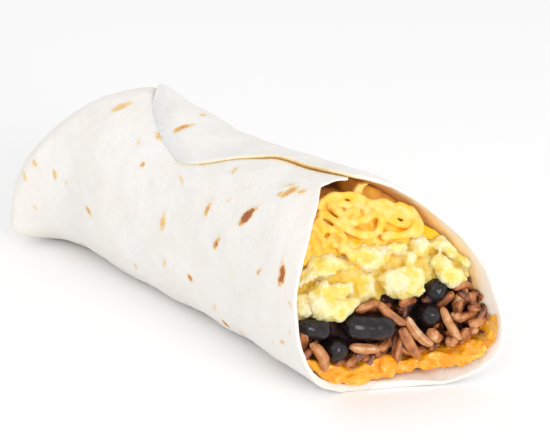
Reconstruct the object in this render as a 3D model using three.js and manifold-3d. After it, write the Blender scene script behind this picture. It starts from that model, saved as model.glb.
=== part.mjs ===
import * as THREE from "three";
import Module from "manifold-3d";

// A burrito lying on its side: one flour tortilla rolled round four layers of filling and left
// open at the front end. Millimetres, +Z up, +X from the folded end to the open end.

// Driving sizes
const LENGTH = 160; // folded end to the furthest lip of the open end
const TORTILLA = 2.3; // thickness of the flour tortilla
const GAP = 0.3; // clear space kept between two foods
const HEEL = 24; // how far the folded end is solid tortilla
const BEAN = [14, 10.5]; // length of a black bean that lies across, and of one that points back
const GRAIN = [9.5, 2.9]; // length and width of a cooked rice grain
const SHRED = [2.4, 1.8]; // width and thickness of a cheese shred

const wasm = await Module();
wasm.setup();

const DEG = Math.PI / 180;
const clamp = (v, a, b) => Math.min(Math.max(v, a), b);

// Eases from 0 at a to 1 at b
function smooth(a, b, v) {
  const t = clamp((v - a) / (b - a), 0, 1);
  return t * t * (3 - 2 * t);
}

// One seeded draw for everything that is scattered
let seed = 4127;
function draw(a, b) {
  seed = (seed * 1664525 + 1013904223) % 4294967296;
  return a + ((b - a) * seed) / 4294967296;
}

// A smooth line through the sizes given at a few stations
function through(stations, sizes, at) {
  const n = stations.length;
  const x = clamp(at, stations[0], stations[n - 1]);
  let i = 0;
  while (i < n - 2 && x > stations[i + 1]) i++;
  const slope = (k) => {
    const a = Math.max(k - 1, 0);
    const b = Math.min(k + 1, n - 1);
    return (sizes[b] - sizes[a]) / (stations[b] - stations[a]);
  };
  const h = stations[i + 1] - stations[i];
  const t = (x - stations[i]) / h;
  const t2 = t * t;
  const t3 = t2 * t;
  const from = (2 * t3 - 3 * t2 + 1) * sizes[i] + (t3 - 2 * t2 + t) * h * slope(i);
  const to = (3 * t2 - 2 * t3) * sizes[i + 1] + (t3 - t2) * h * slope(i + 1);
  return from + to;
}

// The same, round the roll: 0 is the top, 90 the near side (-Y), 180 the bottom, -90 the far side
function around(angles, sizes, angle) {
  const n = angles.length;
  const a = [angles[n - 2] - 360, angles[n - 1] - 360, ...angles, angles[0] + 360, angles[1] + 360];
  const s = [sizes[n - 2], sizes[n - 1], ...sizes, sizes[0], sizes[1]];
  return through(a, s, ((angle % 360) + 360) % 360);
}

const power = (v, e) => Math.sign(v) * Math.pow(Math.abs(v), e);

// The roll's skin: x from the folded end, angle round it, and off outwards from the first wrap
function skin(x, angle, off) {
  const p = angle * DEG;
  const half = through([0, 14, 34, 66, 100, 132, 160], [29.5, 27.5, 24, 21.6, 22, 26, 29], x);
  const tall = through([0, 14, 34, 66, 100, 132, 160], [42, 48.5, 52.5, 48.5, 50, 51, 47.5], x);
  const side = through([0, 20, 50, 90, 140], [-2.5, 3, 1, 0.5, 0], x);
  const round = 25.5 + 13 * Math.cos(p) - 10.5 * Math.sin(p);
  const u = clamp(1 - x / round, 0, 1);
  const k = Math.pow(1 - Math.pow(u, 1.8), 1 / 1.8);
  const e = 2 / through([0, 50], [2.2, 2.3], x);
  const turn = ((angle % 360) + 360) % 360;
  const corner = 3 * Math.exp(-(((x - 6) / 6) ** 2) - ((turn - 128) / 16) ** 2);
  const o = off + corner;
  const y = -(half + o) * power(Math.sin(p), e);
  const z = tall / 2 - 0.6 + (tall / 2 + 1 + o) * power(Math.cos(p), e);
  const zk = 8.5 + (z - 8.5) * k;
  return new THREE.Vector3(x - LENGTH / 2, -3 + (y + 3) * k + side, Math.max(zk, Math.max(-off, 0)));
}

// The lip of the open end, cut slantwise by the edge of the round tortilla
function lip(angle) {
  const turns = [0, 40, 80, 120, 160, 200, 240, 280, 320];
  return around(turns, [121, 131.5, 136, 140, 139.5, 152, 159, 149, 131.5], angle);
}

// The first wrap's own edge draws back inside where the last wrap covers it
function innerLip(angle) {
  const turn = ((angle % 360) + 360) % 360;
  const back = turn > 170 && turn < 354 ? 26 * smooth(353, 322, turn) * smooth(172, 200, turn) : 0;
  return lip(angle) - back;
}

function solid(points, faces) {
  const build = (order) =>
    new wasm.Manifold(
      new wasm.Mesh({
        numProp: 3,
        vertProperties: new Float32Array(points.flatMap((p) => [p.x, p.y, p.z])),
        triVerts: new Uint32Array(order),
      }),
    );
  const made = build(faces);
  if (made.volume() > 0) return made;
  const turned = [];
  for (let i = 0; i < faces.length; i += 3) turned.push(faces[i], faces[i + 2], faces[i + 1]);
  return build(turned);
}

// Rings joined one to the next and closed to a point at both ends
function loft(first, rings, last) {
  const points = [first, ...rings.flat(), last];
  const n = rings[0].length;
  const end = points.length - 1;
  const faces = [];
  for (let j = 0; j < n; j++) {
    const k = (j + 1) % n;
    faces.push(0, 1 + k, 1 + j);
    faces.push(end, end - n + j, end - n + k);
    for (let i = 0; i < rings.length - 1; i++) {
      const a = 1 + i * n;
      faces.push(a + j, a + k, a + n + j, a + k, a + n + k, a + n + j);
    }
  }
  return solid(points, faces);
}

// A sheet between two grids of points, with its edge rounded by the amount given
function sheet(top, under, rounding) {
  const rows = top.length;
  const cols = top[0].length;
  const points = [...top.flat(), ...under.flat()];
  const low = rows * cols;
  const faces = [];
  for (let i = 0; i < rows - 1; i++) {
    for (let j = 0; j < cols - 1; j++) {
      const a = i * cols + j;
      const b = a + cols;
      faces.push(a, a + 1, b, a + 1, b + 1, b);
      faces.push(low + a, low + b, low + a + 1, low + a + 1, low + b, low + b + 1);
    }
  }
  const rim = [];
  for (let j = 0; j < cols; j++) rim.push([j, j + cols]);
  for (let i = 1; i < rows; i++) rim.push([i * cols + cols - 1, i * cols + cols - 2]);
  for (let j = cols - 2; j >= 0; j--) rim.push([(rows - 1) * cols + j, (rows - 2) * cols + j]);
  for (let i = rows - 2; i > 0; i--) rim.push([i * cols, i * cols + 1]);
  const mid = points.length;
  for (const [at, inside] of rim) {
    const outward = points[at].clone().sub(points[inside]).setLength(rounding);
    points.push(points[at].clone().add(points[low + at]).multiplyScalar(0.5).add(outward));
  }
  rim.forEach(([a], i) => {
    const next = (i + 1) % rim.length;
    const b = rim[next][0];
    faces.push(a, mid + i, b, b, mid + i, mid + next);
    faces.push(mid + i, low + a, mid + next, mid + next, low + a, low + b);
  });
  return solid(points, faces);
}

const grid = (rows, cols, at) =>
  Array.from({ length: rows }, (_, i) =>
    Array.from({ length: cols }, (_, j) => at(i / (rows - 1), j / (cols - 1))),
  );

// Tortilla: the first wrap is a cup with a solid folded heel, the last wrap a sheet over its
// far side and top that ends in a free edge along the near top

const ROUND = 40; // facets round the roll
const ALONG = [0, 0.12, 0.3, 0.55, 0.8, 0.95]; // rings along its hollow

function ring(xAt, offAt) {
  return Array.from({ length: ROUND }, (_, j) => {
    const turn = (j * 360) / ROUND;
    const angle = turn > 180 ? turn - 360 : turn;
    return skin(xAt(angle), angle, offAt(angle));
  });
}

function firstWrap() {
  const outside = [0.006, 0.022, 0.05, 0.09, 0.14, 0.2, 0.28, 0.38, 0.5, 0.63, 0.76, 0.88, 0.95];
  const rings = outside.map((s) => ring((a) => s * innerLip(a), () => 0));
  rings.push(ring((a) => innerLip(a) - 0.4, () => -0.2));
  rings.push(ring((a) => innerLip(a), () => -TORTILLA / 2));
  rings.push(ring((a) => innerLip(a) - 0.4, () => 0.2 - TORTILLA));
  for (const s of [...ALONG].reverse()) {
    rings.push(ring((a) => HEEL + s * (innerLip(a) - HEEL), () => -TORTILLA));
  }
  return loft(skin(0, 0, 0), rings, new THREE.Vector3(HEEL - LENGTH / 2, 0, 24));
}

// How far the last wrap stands off the first: nothing under the roll, a full thickness on top,
// and a little more where it lifts at its back corner and along its free edge near the opening
function lastWrapOff(x, angle, edgeAngle) {
  const rise = 2.4 * smooth(-190, -95, angle) - 0.5;
  const pressed = 0.7 * smooth(16, 0, x - lastWrapBack(angle)) * smooth(-60, 20, angle);
  const peak = 1.9 * Math.exp(-(((x - 40) / 7) ** 2) - ((angle + 12) / 13) ** 2);
  const lift = 1.1 * smooth(84, 118, x) * Math.exp(-(edgeAngle - angle) / 16);
  return rise - pressed + peak + lift;
}

// Its back edge, from under the roll over the far side to the corner on the near top
function lastWrapBack(angle) {
  const turns = [-188, -150, -120, -90, -60, -30, -10, 3, 14, 24, 34];
  return through(turns, [100, 78, 58, 44, 36, 34, 39, 46, 54, 62, 72], angle);
}

function lastWrap() {
  const place = (u, v) => {
    const backAngle = -188 + 222 * v;
    const frontAngle = -188 + 180 * v;
    const bow = through([0, 0.12, 0.26, 0.44, 0.56, 0.8, 1], [0, 3, 2, -5.5, -8, -2.5, 0], u) * v ** 5;
    const angle = backAngle + (frontAngle - backAngle) * u + bow;
    const front = lip(frontAngle) - 0.3 + 0.9 * smooth(-186, -168, frontAngle);
    const x = lastWrapBack(backAngle) + (front - lastWrapBack(backAngle)) * u;
    const edgeAngle = 34 - 42 * u + bow / Math.max(v ** 5, 1e-3);
    return [x, angle, Math.max(edgeAngle, angle)];
  };
  const rows = 11;
  const cols = 23;
  const top = grid(rows, cols, (u, v) => {
    const [x, angle, edge] = place(u, v);
    return skin(x, angle, lastWrapOff(x, angle, edge));
  });
  const under = grid(rows, cols, (u, v) => {
    const [x, angle, edge] = place(u, v);
    return skin(x, angle, Math.max(lastWrapOff(x, angle, edge) - TORTILLA, -2));
  });
  return sheet(top, under, 0.7);
}

// The room inside the tortilla, less a gap, and the slanting front the fillings are packed to
function room() {
  const beside = () => -TORTILLA - GAP;
  const under = (angle) =>
    beside() + (angle < -8 ? 1.9 * smooth(-175, -95, angle) * smooth(-8, -30, angle) : 0);
  const rings = [ring((a) => lip(a) + 14, under), ring((a) => innerLip(a) + 2.6, under)];
  rings.push(ring((a) => innerLip(a) + 0.6, beside));
  for (const s of [...ALONG].reverse()) {
    rings.push(ring((a) => HEEL + GAP + s * (innerLip(a) - HEEL), beside));
  }
  const back = new THREE.Vector3(HEEL + GAP - LENGTH / 2, 0, 24);
  return loft(new THREE.Vector3(90, 0, 24), rings, back);
}

const frontAt = (y, z) =>
  62.5 + 0.36 * y + 0.0025 * y * y - 22 * Math.pow(Math.max(z - 12, 0) / 34, 1.5);

function behindFront(recess) {
  const front = grid(9, 8, (u, v) => {
    const y = -32 + 64 * v;
    const z = -4 + 62 * u;
    return new THREE.Vector3(frontAt(y, z) - recess, y, z);
  });
  const back = grid(9, 8, (u, v) => new THREE.Vector3(-70, -32 + 64 * v, -4 + 62 * u));
  return sheet(front, back, 0.01);
}

// Heights at which one filling gives way to the next
const sauceTop = (x, y) =>
  through([-32, -20, -12, 0, 14, 24, 32], [12, 9.6, 6.6, 5.8, 6.6, 9.5, 16], y) + 0.6 * Math.sin(x / 9);
const riceTop = (x, y) =>
  through([-32, -16, 0, 12, 22, 32], [21.5, 20.5, 22, 23, 24, 24], y) + 0.8 * Math.sin(x / 11 + 1);
const eggTop = (x, y) =>
  through([-32, -16, 0, 12, 24, 32], [31, 33, 34.5, 34.5, 34, 33], y) + 0.9 * Math.sin(x / 13 + 2);

function layer(low, high, recess, inside) {
  const level = (height) =>
    grid(6, 11, (u, v) => {
      const x = -75 + 165 * u;
      const y = -32 + 64 * v;
      return new THREE.Vector3(x, y, height(x, y));
    });
  return inside.intersect(behindFront(recess)).intersect(sheet(level(high), level(low), 0.01));
}

// A point of the front face, out square from it by a little
function onFront(y, z, out) {
  const square = new THREE.Vector3(1, -0.36 - 0.005 * y, 0.97 * Math.sqrt(Math.max(z - 12, 0) / 34));
  return new THREE.Vector3(frontAt(y, z), y, z).addScaledVector(square.normalize(), out);
}

// A long rounded piece from one end to the other: a grain or a bean
function pill(a, b, width, height, sides, rings, grow) {
  const axis = b.clone().sub(a);
  const half = axis.length() / 2 + grow;
  axis.normalize();
  const across = new THREE.Vector3(0, 0, 1).cross(axis).normalize();
  const up = axis.clone().cross(across);
  const centre = a.clone().add(b).multiplyScalar(0.5);
  const circles = rings.map((s) => {
    const r = Math.pow(1 - Math.abs(s) ** 2.6, 1 / 2.6);
    return Array.from({ length: sides }, (_, j) => {
      const t = (j / sides) * 2 * Math.PI;
      return centre
        .clone()
        .addScaledVector(axis, s * half)
        .addScaledVector(across, Math.cos(t) * r * (width / 2 + grow))
        .addScaledVector(up, Math.sin(t) * r * (height / 2 + grow));
    });
  });
  const ends = [-half, half].map((d) => centre.clone().addScaledVector(axis, d));
  return loft(ends[0], circles, ends[1]);
}

// Black beans: each where it shows, by its two ends (y, z) on the front face, its width, and how
// far it stands out
const BEANS = [
  [[-21.2, 20.6], [-13, 18.2], 5.6, 1],
  [[-9.8, 18.6], [4.2, 16.2], 7.2, 1.4],
  [[-13, 13], [-11.4, 12.6], 7.6, 1],
  [[16.2, 23.8], [17.4, 23.6], 7, 0.4],
  [[12, 18.4], [13.6, 18], 7, 1],
];

function bean([from, to, wide, out], grow) {
  const [a, b] = [from, to].map(([y, z]) => onFront(y, z, out - 2.4));
  const centre = a.clone().add(b).multiplyScalar(0.5);
  const axis = b.clone().sub(a);
  const rings = [-0.93, -0.72, -0.36, 0, 0.36, 0.72, 0.93];
  // a bean seen end-on points back into the rice
  if (axis.length() < 4) {
    axis.set(-1, 0.3, -0.25).setLength(BEAN[1] / 2);
    centre.copy(onFront((from[0] + to[0]) / 2, (from[1] + to[1]) / 2, out)).add(axis);
  }
  axis.setLength(Math.min(BEAN[0] / 2, axis.length()));
  if (axis.length() < BEAN[1] / 2) axis.setLength(BEAN[1] / 2.4);
  return pill(centre.clone().sub(axis), centre.clone().add(axis), wide, wide * 0.94, 10, rings, grow);
}

// Rice grains at the front: the ones that show, by their ends (y, z), then some more between
const GRAINS = [
  [[-5.6, 21.8], [1.7, 22.6]], [[1.5, 23], [5.9, 16.9]], [[7.1, 18], [12.8, 9.8]],
  [[5, 15.8], [9, 7]], [[12.6, 14.4], [15.8, 9.8]], [[16.5, 19.4], [20.2, 10]],
  [[20.8, 22.4], [17, 19.4]], [[21.4, 23.2], [26.4, 22.8]], [[22.8, 21.6], [21.2, 17]],
  [[23.6, 17.8], [27.6, 18.4]], [[23.2, 14], [28.4, 15.7]], [[19, 16.6], [22.4, 14.5]],
  [[24.6, 11.2], [27.4, 13.3]], [[19.8, 13.8], [22.6, 8.6]], [[16, 8], [19.8, 10]],
  [[-9.2, 13.4], [-1.5, 11.2]], [[-1.4, 11.2], [2.6, 12.2]], [[-5, 8], [0, 8.8]],
  [[-10.2, 8.1], [-5, 9.8]], [[-19.4, 16], [-16.2, 8.4]], [[-20.8, 18.8], [-20.8, 13.6]],
  [[4.5, 10.4], [7.6, 6]], [[-7.8, 5.7], [-3.4, 5.9]], [[6.4, 21.2], [11.4, 21.9]],
  [[1.9, 13.8], [2.9, 10.4]], [[9.8, 13], [12, 8.3]], [[17.6, 12.8], [18.3, 9.6]],
];

function grains() {
  const list = GRAINS.map(([a, b], i) => [onFront(...a, -1.3 - 0.6 * (i % 3)), onFront(...b, -1)]);
  for (let i = 0; i < 8; i++) {
    const y = -21 + (46 * (i + 0.5)) / 8;
    const z = draw(sauceTop(60, y) + 2.5, riceTop(60, y) - 1.5);
    const lean = draw(-1, 1);
    const end = [y + 4.2 * Math.cos(lean * 1.5), z + 3.6 * Math.sin(lean * 1.5)];
    list.push([onFront(y - 2, z, -2.6), onFront(...end, -2.2)]);
  }
  return list.map(([a, b]) => {
    const half = b.clone().sub(a).setLength(Math.min(a.distanceTo(b), GRAIN[0]) / 2);
    const centre = a.clone().add(b).multiplyScalar(0.5);
    const [p, q] = [centre.clone().sub(half), centre.clone().add(half)];
    return pill(p, q, GRAIN[1], GRAIN[1] * 0.86, 5, [-0.8, 0, 0.8], 0);
  });
}

// A lump with an uneven surface
function lump(centre, size, detail, bumps, grow) {
  const ball = new THREE.IcosahedronGeometry(1, detail);
  const at = ball.getAttribute("position");
  const keys = new Map();
  const points = [];
  const faces = [];
  for (let i = 0; i < at.count; i++) {
    const v = new THREE.Vector3().fromBufferAttribute(at, i);
    const key = [v.x, v.y, v.z].map((c) => Math.round(c * 1e4)).join();
    if (!keys.has(key)) {
      const r = 1 + bumps * Math.sin(5 * v.x + centre.y) * Math.sin(4.3 * v.y + centre.z);
      keys.set(key, points.length);
      points.push(
        new THREE.Vector3(v.x * (size[0] * r + grow), v.y * (size[1] * r + grow), v.z * (size[2] * r + grow)),
      );
    }
    faces.push(keys.get(key));
  }
  points.forEach((p) => p.add(centre));
  return solid(points, faces);
}

// Egg curds: centre (y, z) on the front face, half width, half height, and how far they stand out
const CURDS = [
  [-9.5, 32.2, 6.8, 3.6, 0], [-3.2, 31.4, 3, 2.2, 0.2], [-15.2, 31.6, 3.4, 4, -0.6],
  [-12.4, 25.6, 6.4, 4.6, 0.6], [-7.2, 24.2, 3.8, 2.8, 0.6], [-10.8, 22.4, 3.6, 2.6, 0.8],
  [9.4, 26.6, 5.8, 4.3, 1.2], [13, 30.8, 2.6, 2.8, 0.2], [3.9, 33, 6.6, 3.6, -0.4],
  [12, 33.8, 2.8, 2.2, -0.2], [-0.4, 27, 4.2, 4.4, -1.4], [20.2, 30.4, 2.4, 2.8, 0.8],
  [21.6, 27, 3.4, 3.4, 1.2], [23, 25.2, 2, 1.8, 0.8], [22.6, 33.6, 3.2, 2.4, 0],
  [25.2, 30.4, 3.4, 3, 0], [17, 30.6, 3, 3, -1.4],
];

const curds = (grow) =>
  CURDS.map(([y, z, wide, high, out]) =>
    lump(onFront(y, z, out - 2.2), [3.6, wide, high], 1, 0.14, grow),
  );

// Cheese shreds: bent strips by the points (y, z) they pass through
const SHREDS = [
  [
    [-1.2, 46], [2.2, 47.2], [6.3, 46.8], [8.6, 45.8], [11.4, 44.1], [14.3, 44.2], [17, 43], [19.3, 41.2],
    [19.2, 39.2], [16.8, 37], [13, 36.4], [9, 37],
  ],
  [[-2.2, 45.2], [2.4, 45.8], [5.8, 44.8], [8, 43.4], [6.6, 41.8]],
  [[-4.3, 43.4], [-2.2, 42], [-0.9, 39.8], [2.3, 38.2], [5.7, 37.4], [9.2, 38.8], [9.7, 40.6]],
  [[2.8, 44.1], [5.2, 43.1], [3.8, 41.5], [2.2, 42]],
  [[4.2, 40.8], [8.4, 41.9], [11.5, 41.2], [12.2, 39.2], [15.3, 38.9], [17.8, 39.5]],
  [[13.8, 42.8], [17.4, 41.2], [17.9, 40.3], [14.9, 39.7], [12.2, 41]],
  [[-7.7, 40.4], [-7.3, 37.9], [-8, 36]],
  [[-4.8, 40.4], [-2.3, 38.7], [-2.6, 36.2]],
  [[-9.2, 40.2], [-10.5, 36.6]],
  [[-2, 44.6], [-0.7, 42.9], [1.6, 40.8], [5.4, 40.4]],
  [[6.6, 35.8], [8.7, 36.3], [12.2, 35.8]],
];

function shred(path, index, grow) {
  const line = new THREE.CatmullRomCurve3(
    path.map(([y, z], i) => onFront(y, z, -0.7 - 0.7 * (index % 3) + 0.5 * Math.sin(2 * i + index))),
  );
  const steps = Math.round(1.3 * path.length) + 2;
  const rings = [];
  for (let i = 0; i <= steps; i++) {
    const at = line.getPointAt(i / steps);
    const axis = line.getTangentAt(i / steps);
    const across = new THREE.Vector3(1, 0, 0.3).cross(axis).normalize();
    const up = axis.clone().cross(across);
    const r = i === 0 || i === steps ? 0.75 : 1;
    rings.push(
      Array.from({ length: 6 }, (_, j) => {
        const t = ((j + 0.5) / 6) * 2 * Math.PI;
        return at
          .clone()
          .addScaledVector(across, Math.cos(t) * r * (SHRED[0] / 2 + grow))
          .addScaledVector(up, Math.sin(t) * r * (SHRED[1] / 2 + grow));
      }),
    );
  }
  const end = (t, d) => line.getPointAt(t).addScaledVector(line.getTangentAt(t), d * (0.5 + grow));
  return loft(end(0, -1), rings, end(1, 1));
}

// Cheese sauce: the blobs that well up at its front edge
const BLOBS = [
  [2.8, 5.2, 3.8, 2.7], [-13.6, 6, 4.8, 2.7], [-19, 8.4, 2.6, 3], [12.6, 4.6, 5, 2.3], [18.6, 5.6, 4, 2.4],
  [23.8, 8.4, 3.4, 3],
];

const blobs = (grow) =>
  BLOBS.map(([y, z, wide, high]) => lump(onFront(y, z, -0.9), [3.4, wide, high], 1, 0.08, grow));

// Fillings: each is cut clear of the ones packed before it

const union = (list) => wasm.Manifold.union(list);

function biggest(made) {
  const parts = made.decompose();
  return parts.reduce((a, b) => (a.volume() > b.volume() ? a : b));
}

const inside = room();
const nearFront = (list) => union(list).intersect(inside);

const beans = BEANS.map((sizes) => biggest(bean(sizes, 0).intersect(inside)));
const beansClear = union(BEANS.map((sizes) => bean(sizes, GAP)));

const lift = (height, by) => (x, y) => height(x, y) + by;

const egg = biggest(
  layer(lift(riceTop, GAP / 2), lift(eggTop, -GAP / 2), 3, inside)
    .add(nearFront(curds(0)))
    .subtract(beansClear),
);
const eggClear = layer(lift(riceTop, -GAP / 2), lift(eggTop, GAP / 2), 3 - GAP, inside).add(
  union(curds(GAP + 0.05)),
);

const cheese = biggest(
  layer(lift(eggTop, GAP / 2), () => 70, 3.4, inside)
    .add(nearFront(SHREDS.map((path, i) => shred(path, i, 0))))
    .subtract(eggClear),
);

const riceCore = layer(lift(sauceTop, GAP / 2), lift(riceTop, -GAP / 2), 2.6, inside);
const keptGrains = grains().filter((g) => {
  const whole = g.volume();
  return g.subtract(beansClear).subtract(eggClear).volume() > 0.62 * whole;
});
const rice = biggest(
  riceCore.add(nearFront(keptGrains)).subtract(beansClear).subtract(eggClear),
);
const riceClear = layer(lift(sauceTop, -GAP / 2), lift(riceTop, GAP / 2), 2.6 - GAP, inside).add(
  union(keptGrains.map((g) => g)),
);

const sauce = biggest(
  layer(() => -1, lift(sauceTop, -GAP / 2), 0.6, inside)
    .add(nearFront(blobs(0)))
    .subtract(riceClear)
    .subtract(beansClear)
    .subtract(eggClear),
);

const tortilla = firstWrap().add(lastWrap());

// Materials and the finished group, resting on z = 0 with its middle over the origin
const colours = {
  tortilla: [0xf3ebdd, 0.85],
  cheese_sauce: [0xf2a13c, 0.3],
  rice: [0x9a6a45, 0.55],
  bean: [0x1f1c26, 0.35],
  egg: [0xf8e17c, 0.6],
  cheese: [0xfacb54, 0.5],
};

const group = new THREE.Group();
const box = tortilla.boundingBox();
group.position.set(-(box.min[0] + box.max[0]) / 2, -(box.min[1] + box.max[1]) / 2, -box.min[2]);

function addNode(name, slot, made) {
  const mesh = made.getMesh();
  const geometry = new THREE.BufferGeometry();
  geometry.setAttribute("position", new THREE.BufferAttribute(new Float32Array(mesh.vertProperties), 3));
  geometry.setIndex(new THREE.BufferAttribute(new Uint32Array(mesh.triVerts), 1));
  geometry.computeVertexNormals();
  const [color, roughness] = colours[slot];
  const node = new THREE.Mesh(geometry, new THREE.MeshStandardMaterial({ name: slot, color, roughness }));
  node.name = name;
  group.add(node);
}

addNode("tortilla", "tortilla", tortilla);
addNode("cheese_sauce", "cheese_sauce", sauce);
addNode("rice", "rice", rice);
beans.forEach((made, i) => addNode("black_bean_" + (i + 1), "bean", made));
addNode("scrambled_egg", "egg", egg);
addNode("shredded_cheese", "cheese", cheese);

export default group;
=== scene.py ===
import math
import random

import bmesh
import bpy
import numpy as np
from mathutils import Euler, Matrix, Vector, noise


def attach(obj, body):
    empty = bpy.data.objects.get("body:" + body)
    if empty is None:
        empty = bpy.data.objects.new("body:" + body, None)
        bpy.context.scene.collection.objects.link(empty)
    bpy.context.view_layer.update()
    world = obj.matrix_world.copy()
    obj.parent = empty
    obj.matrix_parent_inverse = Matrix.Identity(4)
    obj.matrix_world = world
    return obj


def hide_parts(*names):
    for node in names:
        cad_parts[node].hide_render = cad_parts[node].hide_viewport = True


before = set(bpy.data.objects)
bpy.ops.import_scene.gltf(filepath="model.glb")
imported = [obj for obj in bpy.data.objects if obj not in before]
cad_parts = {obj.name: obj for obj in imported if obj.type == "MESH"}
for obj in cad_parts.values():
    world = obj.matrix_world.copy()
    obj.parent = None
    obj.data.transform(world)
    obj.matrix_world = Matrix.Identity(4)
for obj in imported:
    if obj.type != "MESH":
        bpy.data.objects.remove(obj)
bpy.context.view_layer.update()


# Tortilla, first wrap. One round sheet of flour dough, baked on a hot plate and rolled on its side into
# a loose tube: folded shut at its far end, open at the other, with its edge drawn back inside under the
# last wrap. Angles go round the roll: 0 on top, 90 on the near side, 180 underneath, -90 on the far side.
STATIONS = [0, 14, 34, 66, 100, 132, 160]  # mm from the folded end
HALF_WIDTH = [29.5, 27.5, 24, 21.6, 22, 26, 29]
HEIGHT = [42, 48.5, 52.5, 48.5, 50, 51, 47.5]
THICKNESS = 2.3
HEEL = 24  # how far the folded end is solid
SHUT_Y, SHUT_Z = -3, 8.5  # where the folded end closes up
STAND_OFF = 1.95  # how far the last wrap lies out from the first
MIDDLE = np.array([-80.17, -1.93, 0.0])  # from the folded end to the middle of the footprint


def ease(a, b, value):
    """From 0 at a to 1 at b, starting and ending gently."""
    share = np.clip((np.asarray(value, float) - a) / (b - a), 0, 1)
    return share * share * (3 - 2 * share)


def through(stations, sizes, at):
    """A smooth line through the sizes given at a few stations."""
    xs, ys = np.asarray(stations, float), np.asarray(sizes, float)
    at = np.clip(at, xs[0], xs[-1])
    slope = np.empty_like(ys)
    slope[1:-1] = (ys[2:] - ys[:-2]) / (xs[2:] - xs[:-2])
    slope[0] = (ys[1] - ys[0]) / (xs[1] - xs[0])
    slope[-1] = (ys[-1] - ys[-2]) / (xs[-1] - xs[-2])
    i = np.clip(np.searchsorted(xs, at, side="right") - 1, 0, len(xs) - 2)
    step = xs[i + 1] - xs[i]
    t = (at - xs[i]) / step
    start = (2 * t**3 - 3 * t**2 + 1) * ys[i] + (t**3 - 2 * t**2 + t) * step * slope[i]
    return start + (3 * t**2 - 2 * t**3) * ys[i + 1] + (t**3 - t**2) * step * slope[i + 1]


def bell(value, middle, width):
    """1 at the middle, dying away to both sides."""
    return np.exp(-(((value - middle) / width) ** 2))


def unit(v):
    """The same direction, one long."""
    return v / np.linalg.norm(v, axis=-1, keepdims=True)


def flattened(value, amount):
    """A sine or cosine raised to a power, which squares the round of the roll a little."""
    return np.sign(value) * np.abs(value) ** amount


def closing(x, p):
    """How far the roll has closed at x: 0 at the folded end, 1 along its body."""
    rounding = 25.5 + 13 * np.cos(p) - 10.5 * np.sin(p)
    return (1 - np.clip(1 - x / rounding, 0, 0.9999) ** 1.8) ** (1 / 1.8)


def sideways(x):
    """How far the roll bends off its straight line."""
    return through([0, 20, 50, 90, 140], [-2.5, 3, 1, 0.5, 0], x)


def skin(x, angle, off=0.0):
    """Points of the first wrap's outer face, or of a face that lies off outwards from it."""
    x, angle, off = np.broadcast_arrays(np.asarray(x, float), angle, off)
    p = np.radians(angle)
    tall = through(STATIONS, HEIGHT, x)
    e = 2 / np.interp(x, [0, 50], [2.2, 2.3])
    corner = 3 * bell(x, 6, 6) * bell(np.mod(angle, 360), 128, 16)
    out = off + corner
    y = -(through(STATIONS, HALF_WIDTH, x) + out) * flattened(np.sin(p), e)
    z = tall / 2 - 0.6 + (tall / 2 + 1 + out) * flattened(np.cos(p), e)
    k = closing(x, p)
    z = np.maximum(SHUT_Z + (z - SHUT_Z) * k, np.maximum(-off, 0))
    return np.stack([x, SHUT_Y + (y - SHUT_Y) * k + sideways(x), z], -1)


def lip(angle):
    """Where the tortilla's edge ends the open end, cut slantwise by the round of the sheet."""
    turns = [-6, 0, 4, 6, 8, 12, 16, 20, 27, 35, 45, 60, 80,
             100, 120, 160, 200, 240, 280, 320, 340, 354, 360, 364]
    reach = [121.2, 120.6, 120.3, 120.3, 121.2, 122.9, 124.6, 126.3, 128.6, 130.6, 132.9, 135, 136,
             138, 140, 139.5, 152, 159, 149, 131.5, 124.4, 121.2, 120.6, 120.3]
    return through(turns, reach, np.mod(angle, 360))


def inner_lip(angle):
    """The first wrap's own edge, which draws back inside where the last wrap covers it."""
    turn = np.mod(angle, 360)
    return lip(angle) - 26 * ease(353, 322, turn) * ease(174, 204, turn) * (turn > 170)


def lip_thickness(angle):
    """The dough thins to its edge, most on top and least where the roll's weight rests on it."""
    turn = np.mod(angle, 360)
    top = bell(np.mod(angle + 182, 360), 180, 13)
    return 1.1 - 0.5 * top + 1.2 * ease(112, 150, turn) * ease(290, 240, turn)


def wall(x, angle):
    """How thick the first wrap is at a place."""
    thin = lip_thickness(angle)
    return thin + (THICKNESS - thin) * ease(0, 16, inner_lip(angle) - x)


def rough(points, size, octaves):
    """Soft unevenness with swellings of about this size (mm)."""
    return np.array([noise.fractal(Vector(p / size), 0.6, 2.1, octaves) for p in points.reshape(-1, 3)])


class Tone:
    """An output socket of a finish. Sums and products of it add Math nodes."""

    def __init__(self, finish, socket):
        self.finish, self.socket = finish, socket

    def maths(self, operation, a, b):
        return self.finish.node("Math", {"operation": operation}, {0: a, 1: b})

    def __add__(self, other):
        return self.maths("ADD", self, other)

    def __sub__(self, other):
        return self.maths("SUBTRACT", self, other)

    def __rsub__(self, other):
        return self.maths("SUBTRACT", other, self)

    def __mul__(self, other):
        return self.maths("MULTIPLY", self, other)

    __radd__ = __add__
    __rmul__ = __mul__


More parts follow.
